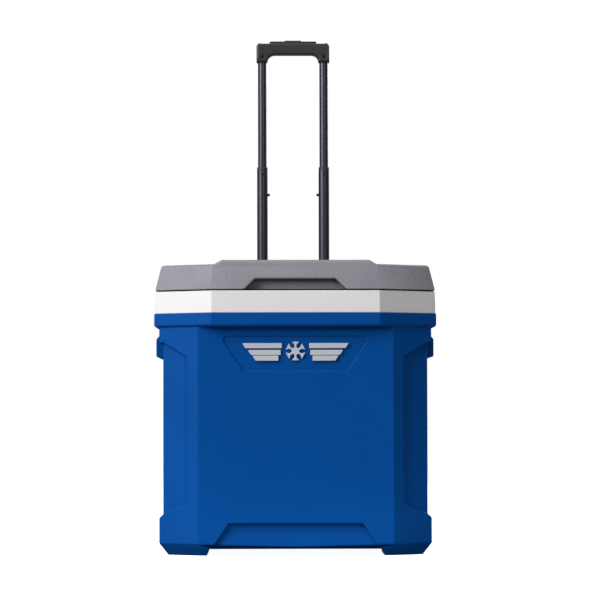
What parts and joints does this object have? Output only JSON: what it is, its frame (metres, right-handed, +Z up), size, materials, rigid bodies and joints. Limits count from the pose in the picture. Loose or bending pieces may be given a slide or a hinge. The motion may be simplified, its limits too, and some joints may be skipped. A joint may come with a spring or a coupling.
{
  "type": "wheeled cooler",
  "caption": "Wheeled insulated cooler with a hinged lid, side hand ledges and a telescoping pull handle with a push-button release.",
  "frame": {"origin": "on the ground under the middle of the whole cooler's footprint, handle pulled out and lid closed", "axes": "+X to the user's right, +Y to the rear where the wheels and handle are, +Z up"},
  "size_m": [0.5, 0.48, 0.965],
  "materials": {
    "shell_blue": "moulded polyethylene with a fine grain",
    "insulating_foam": "poured closed-cell foam, sealed inside",
    "liner_white": "smooth white moulded liner",
    "lid_grey": "moulded lid with a leather-like grain",
    "badge_silver": "silver painted plastic",
    "soft_rubber": "soft moulded rubber",
    "hinge_plastic": "glass-filled nylon",
    "plated_steel": "zinc plated steel",
    "black_plastic": "black moulded nylon",
    "black_tube": "satin black powder coat on drawn tube",
    "tyre_rubber": "soft black tread",
    "wheel_plastic": "black moulded wheel"
  },
  "bodies": {
    "root": {"outer_shell": "shell_blue", "body_foam": "insulating_foam", "inner_liner": "liner_white", "badge_crystal": "badge_silver", "badge_bars": "badge_silver", "drain_spout": "liner_white", "drain_washer": "soft_rubber", "drain_nut": "liner_white", "hinge_body_leaf_left": "hinge_plastic", "hinge_body_leaf_right": "hinge_plastic", "hinge_body_screws": "plated_steel", "handle_housing": "black_plastic", "handle_bracket": "black_plastic", "handle_sleeve_left": "black_tube", "handle_sleeve_right": "black_tube", "handle_screws": "plated_steel", "axle_stub_left": "plated_steel", "axle_stub_right": "plated_steel", "axle_screws": "plated_steel", "axle_clips": "plated_steel"},
    "lid": {"lid_shell": "lid_grey", "lid_foam": "insulating_foam", "lid_pan": "liner_white", "lid_seal": "soft_rubber", "hinge_lid_leaf_left": "hinge_plastic", "hinge_lid_leaf_right": "hinge_plastic", "hinge_pins": "plated_steel", "hinge_lid_screws": "plated_steel"},
    "handle_middle": {"middle_tube_left": "black_tube", "middle_tube_right": "black_tube", "middle_collars": "black_plastic", "middle_glides": "black_plastic", "stop_pins": "plated_steel", "collar_rivets": "plated_steel"},
    "handle_upper": {"upper_tube_left": "black_tube", "upper_tube_right": "black_tube", "upper_glides": "black_plastic", "grip_front": "black_plastic", "grip_rear": "black_plastic", "grip_pad": "soft_rubber", "grip_screws": "plated_steel"},
    "release": {"release_button": "black_plastic", "release_yoke": "black_plastic", "release_rods": "plated_steel", "button_spring": "plated_steel"},
    "lock_left": {"lock_pin_left": "plated_steel"},
    "lock_right": {"lock_pin_right": "plated_steel"},
    "wheel_left": {"tyre_left": "tyre_rubber", "wheel_hub_left": "wheel_plastic", "wheel_bush_left": "black_plastic", "hub_cap_left": "wheel_plastic"},
    "wheel_right": {"tyre_right": "tyre_rubber", "wheel_hub_right": "wheel_plastic", "wheel_bush_right": "black_plastic", "hub_cap_right": "wheel_plastic"},
    "drain_cap": {"drain_plug": "black_plastic", "drain_plug_seal": "soft_rubber"}
  },
  "joints": [
    {"name": "lid_hinge", "type": "hinge", "parent": "root", "child": "lid", "pos_m": [0, 0.178, 0.474], "axis": [-1, 0, 0], "range_deg": [0, 70]},
    {"name": "handle_middle_slide", "type": "slide", "parent": "root", "child": "handle_middle", "axis": [0, 0, 1], "range_m": [-0.25, 0]},
    {"name": "handle_upper_slide", "type": "slide", "parent": "handle_middle", "child": "handle_upper", "axis": [0, 0, 1], "range_m": [-0.2, 0]},
    {"name": "release_button_press", "type": "slide", "parent": "handle_upper", "child": "release", "axis": [0, 0, 1], "range_m": [-0.004, 0], "stiffness_N_per_m": 900, "springref_m": 0.001, "deforming": ["button_spring"]},
    {"name": "lock_pin_left_slide", "type": "slide", "parent": "handle_upper", "child": "lock_left", "axis": [-1, 0, 0], "range_m": [0, 0.002]},
    {"name": "lock_pin_right_slide", "type": "slide", "parent": "handle_upper", "child": "lock_right", "axis": [1, 0, 0], "range_m": [0, 0.002]},
    {"name": "wheel_left_spin", "type": "hinge", "parent": "root", "child": "wheel_left", "pos_m": [0, 0.14, 0.1], "axis": [1, 0, 0], "continuous": true},
    {"name": "wheel_right_spin", "type": "hinge", "parent": "root", "child": "wheel_right", "pos_m": [0, 0.14, 0.1], "axis": [1, 0, 0], "continuous": true},
    {"name": "drain_plug_pull", "type": "slide", "parent": "root", "child": "drain_cap", "axis": [0, 1, 0], "range_m": [0, 0.03]}
  ],
  "couplings": [
    {"joint": "lock_pin_left_slide", "follows": "release_button_press", "ratio": -0.5},
    {"joint": "lock_pin_right_slide", "follows": "release_button_press", "ratio": -0.5}
  ]
}
